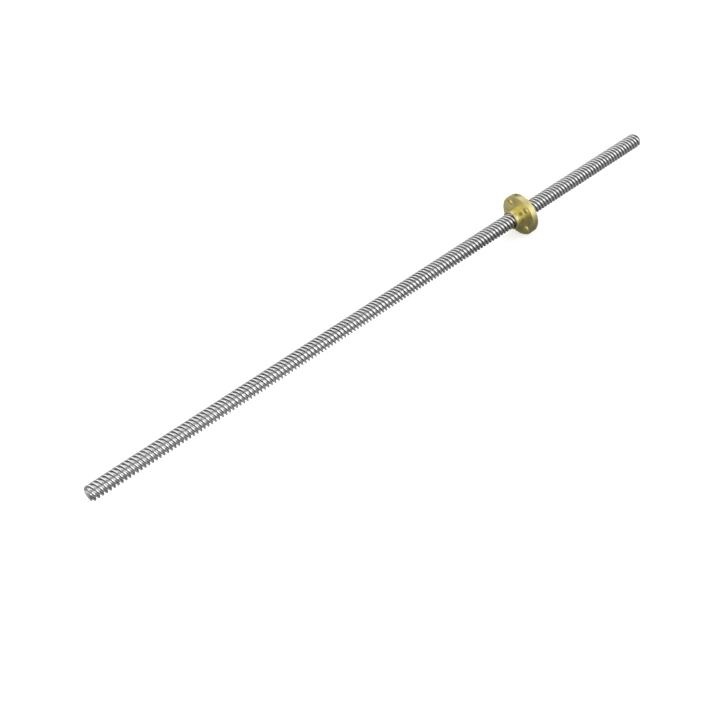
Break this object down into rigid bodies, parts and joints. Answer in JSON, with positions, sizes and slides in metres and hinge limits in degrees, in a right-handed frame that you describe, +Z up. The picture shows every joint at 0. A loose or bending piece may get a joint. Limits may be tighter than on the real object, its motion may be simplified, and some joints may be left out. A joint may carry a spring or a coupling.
{
  "type": "lead screw with flanged nut",
  "caption": "Long multi-start trapezoidal lead screw carrying a round flanged brass nut that travels along it as it turns.",
  "frame": {"origin": "centre of the screw's drive end face, on the screw's axis", "axes": "+X along the screw from the drive end to the free end, +Z up, screw lying level"},
  "size_m": [0.35, 0.022, 0.022],
  "materials": {
    "steel": "bright rolled thread",
    "brass": "turned, lightly worn"
  },
  "bodies": {
    "screw": {"lead_screw": "steel"},
    "nut_carrier": {"nut_end_ring": "brass"},
    "nut": {"flange_nut": "brass"}
  },
  "joints": [
    {"name": "nut_travel", "type": "slide", "parent": "screw", "child": "nut_carrier", "axis": [1, 0, 0], "range_m": [-0.254, 0.084]},
    {"name": "nut_turn", "type": "hinge", "parent": "nut_carrier", "child": "nut", "pos_m": [0.26, 0, 0], "axis": [1, 0, 0], "range_deg": [-11430, 3780]}
  ],
  "couplings": [
    {"joint": "nut_travel", "follows": "nut_turn", "m_per_rad": 0.0012732}
  ]
}
